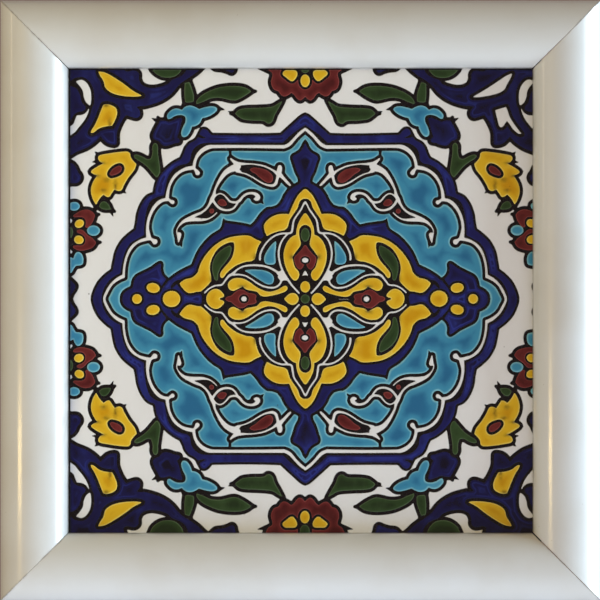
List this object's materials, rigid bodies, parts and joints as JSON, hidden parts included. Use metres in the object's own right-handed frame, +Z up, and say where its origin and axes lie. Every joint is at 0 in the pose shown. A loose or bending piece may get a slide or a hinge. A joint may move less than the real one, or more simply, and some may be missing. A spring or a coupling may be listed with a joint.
{
  "type": "framed ceramic tile",
  "caption": "Square wall ornament: a painted and glazed ceramic tile in a mitred half-round frame, with a backing board and a toothed hanger let into the back of the top rail.",
  "frame": {"origin": "middle of the back, in the plane where the frame and its board meet the wall", "axes": "+Z up as it hangs, +X to the viewer's right, -Y out of the glazed face towards the viewer, +Y into the wall"},
  "size_m": [0.186, 0.0183, 0.186],
  "materials": {
    "white_lacquer": "gloss",
    "painted_glaze": "gloss",
    "hardboard": "matte",
    "zinc_plated_steel": "satin"
  },
  "bodies": {
    "root": {"frame_top_rail": "white_lacquer", "frame_bottom_rail": "white_lacquer", "frame_left_stile": "white_lacquer", "frame_right_stile": "white_lacquer", "ceramic_tile": "painted_glaze", "backing_board": "hardboard", "sawtooth_hanger": "zinc_plated_steel", "hanger_nail_left": "zinc_plated_steel", "hanger_nail_right": "zinc_plated_steel"}
  },
  "joints": []
}
